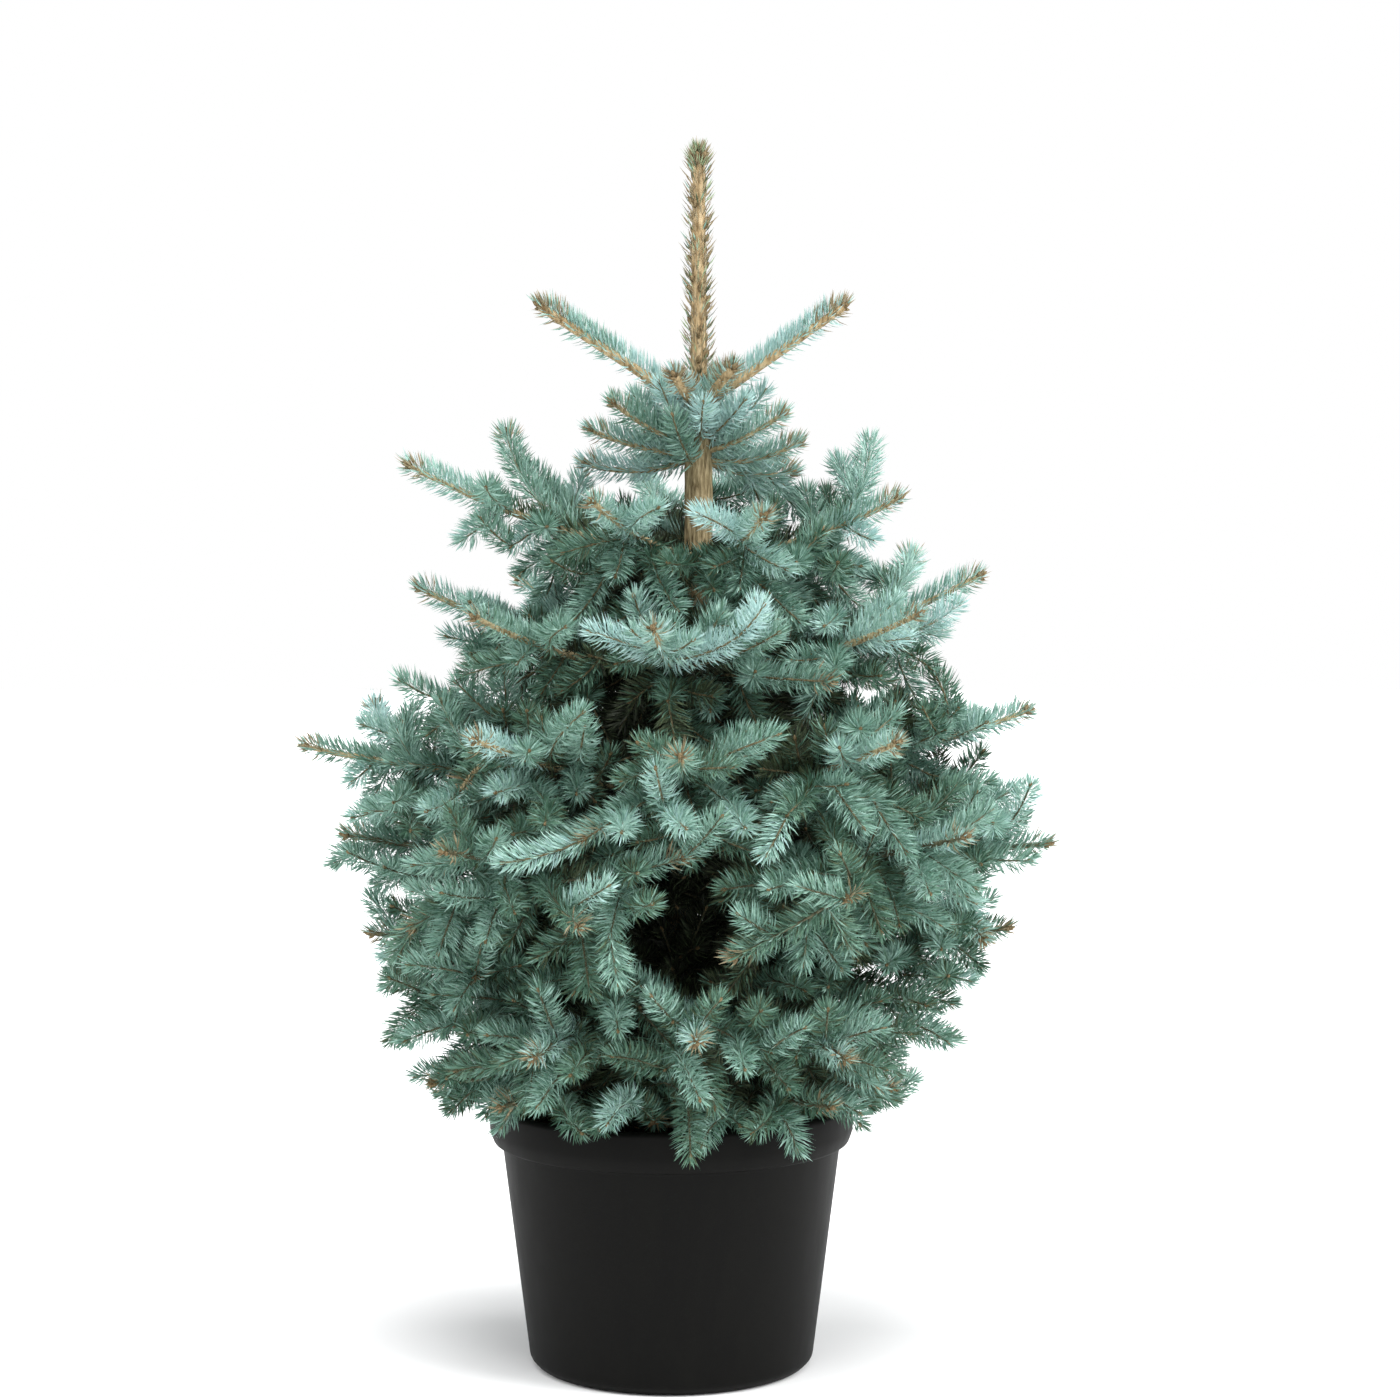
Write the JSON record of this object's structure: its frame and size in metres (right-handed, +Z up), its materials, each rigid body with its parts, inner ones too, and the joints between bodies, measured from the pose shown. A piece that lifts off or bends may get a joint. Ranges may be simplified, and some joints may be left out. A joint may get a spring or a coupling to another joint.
{
  "type": "potted blue spruce",
  "caption": "Young blue spruce with a brown leader shoot and whorls of blue-green needles, standing in a round black plastic pot.",
  "frame": {"origin": "centre of the pot's flat underside", "axes": "+Z up along the trunk to the leader's tip, -Y towards the front, +X to the right seen from the front"},
  "size_m": [0.6661, 0.6058, 1.075],
  "materials": {
    "pot_plastic": "matt black moulded plastic with a faint grain",
    "compost": "dark crumbly bark and peat compost, dull",
    "bark": "rough grey-brown bark, tan on the youngest shoots",
    "needles": "stiff waxy blue-green needles, satin"
  },
  "bodies": {
    "root": {"collar_foliage_1": "needles", "collar_foliage_2": "needles", "hem_foliage_1": "needles", "hem_foliage_2": "needles", "hem_foliage_3": "needles", "hem_foliage_4": "needles", "hem_foliage_5": "needles", "hem_foliage_6": "needles", "hem_foliage_7": "needles", "hem_foliage_8": "needles", "leader_foliage": "needles", "low_foliage_1": "needles", "low_foliage_2": "needles", "low_foliage_3": "needles", "low_foliage_4": "needles", "low_foliage_5": "needles", "low_foliage_6": "needles", "low_foliage_7": "needles", "pot": "pot_plastic", "shoulder_foliage_1": "needles", "shoulder_foliage_2": "needles", "shoulder_foliage_3": "needles", "shoulder_foliage_4": "needles", "shoulder_foliage_5": "needles", "shoulder_foliage_6": "needles", "shoulder_foliage_7": "needles", "skirt_foliage_1": "needles", "skirt_foliage_2": "needles", "skirt_foliage_3": "needles", "skirt_foliage_4": "needles", "skirt_foliage_5": "needles", "skirt_foliage_6": "needles", "skirt_foliage_7": "needles", "soil": "compost", "top_foliage_1": "needles", "top_foliage_2": "needles", "top_foliage_3": "needles", "top_foliage_4": "needles", "trunk": "bark", "upper_foliage_1": "needles", "upper_foliage_2": "needles", "upper_foliage_3": "needles", "upper_foliage_4": "needles", "upper_foliage_5": "needles", "wide_bough_1": "bark", "wide_bough_2": "bark", "wide_bough_3": "bark", "wide_bough_4": "bark", "wide_bough_5": "bark", "wide_bough_6": "bark", "wide_bough_7": "bark", "wide_bough_8": "bark", "wide_foliage_1": "needles", "wide_foliage_2": "needles", "wide_foliage_3": "needles", "wide_foliage_4": "needles", "wide_foliage_5": "needles", "wide_foliage_6": "needles", "wide_foliage_7": "needles", "wide_foliage_8": "needles"}
  },
  "joints": []
}
